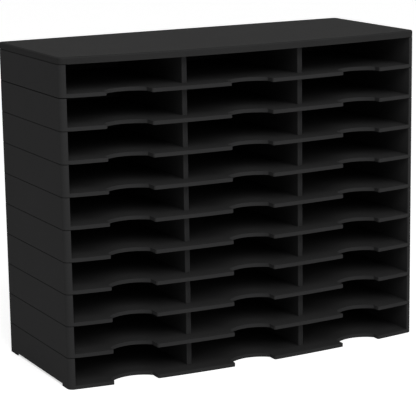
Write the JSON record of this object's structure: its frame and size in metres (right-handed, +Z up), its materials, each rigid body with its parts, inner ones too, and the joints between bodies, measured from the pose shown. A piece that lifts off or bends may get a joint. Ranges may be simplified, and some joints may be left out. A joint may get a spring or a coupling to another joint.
{
  "type": "literature organizer",
  "caption": "Wide stackable sorter of open trays with hollow dividers, finger recesses in bowed front rails, a closed back and a flat lid.",
  "frame": {"origin": "middle of the bounding box on the surface that the organizer stands on", "axes": "+X to the right seen from the front, +Y to the closed back, +Z up"},
  "size_m": [0.798, 0.337, 0.649],
  "materials": {
    "tray_plastic": "satin moulded",
    "divider_plastic": "satin moulded",
    "lid_plastic": "satin moulded"
  },
  "bodies": {
    "tier_1": {"tray_1": "tray_plastic", "divider_left_1": "divider_plastic", "divider_right_1": "divider_plastic"},
    "tier_2": {"tray_2": "tray_plastic", "divider_left_2": "divider_plastic", "divider_right_2": "divider_plastic"},
    "tier_3": {"tray_3": "tray_plastic", "divider_left_3": "divider_plastic", "divider_right_3": "divider_plastic"},
    "tier_4": {"tray_4": "tray_plastic", "divider_left_4": "divider_plastic", "divider_right_4": "divider_plastic"},
    "tier_5": {"tray_5": "tray_plastic", "divider_left_5": "divider_plastic", "divider_right_5": "divider_plastic"},
    "tier_6": {"tray_6": "tray_plastic", "divider_left_6": "divider_plastic", "divider_right_6": "divider_plastic"},
    "tier_7": {"tray_7": "tray_plastic", "divider_left_7": "divider_plastic", "divider_right_7": "divider_plastic"},
    "tier_8": {"tray_8": "tray_plastic", "divider_left_8": "divider_plastic", "divider_right_8": "divider_plastic"},
    "tier_9": {"tray_9": "tray_plastic", "divider_left_9": "divider_plastic", "divider_right_9": "divider_plastic"},
    "tier_10": {"tray_10": "tray_plastic", "divider_left_10": "divider_plastic", "divider_right_10": "divider_plastic"},
    "lid": {"lid": "lid_plastic"}
  },
  "joints": [
    {"name": "lift_tier_2", "type": "slide", "parent": "tier_1", "child": "tier_2", "axis": [0, 0, 1], "range_m": [0, 0.04]},
    {"name": "lift_tier_3", "type": "slide", "parent": "tier_2", "child": "tier_3", "axis": [0, 0, 1], "range_m": [0, 0.04]},
    {"name": "lift_tier_4", "type": "slide", "parent": "tier_3", "child": "tier_4", "axis": [0, 0, 1], "range_m": [0, 0.04]},
    {"name": "lift_tier_5", "type": "slide", "parent": "tier_4", "child": "tier_5", "axis": [0, 0, 1], "range_m": [0, 0.04]},
    {"name": "lift_tier_6", "type": "slide", "parent": "tier_5", "child": "tier_6", "axis": [0, 0, 1], "range_m": [0, 0.04]},
    {"name": "lift_tier_7", "type": "slide", "parent": "tier_6", "child": "tier_7", "axis": [0, 0, 1], "range_m": [0, 0.04]},
    {"name": "lift_tier_8", "type": "slide", "parent": "tier_7", "child": "tier_8", "axis": [0, 0, 1], "range_m": [0, 0.04]},
    {"name": "lift_tier_9", "type": "slide", "parent": "tier_8", "child": "tier_9", "axis": [0, 0, 1], "range_m": [0, 0.04]},
    {"name": "lift_tier_10", "type": "slide", "parent": "tier_9", "child": "tier_10", "axis": [0, 0, 1], "range_m": [0, 0.04]},
    {"name": "lift_lid", "type": "slide", "parent": "tier_10", "child": "lid", "axis": [0, 0, 1], "range_m": [0, 0.04]}
  ]
}
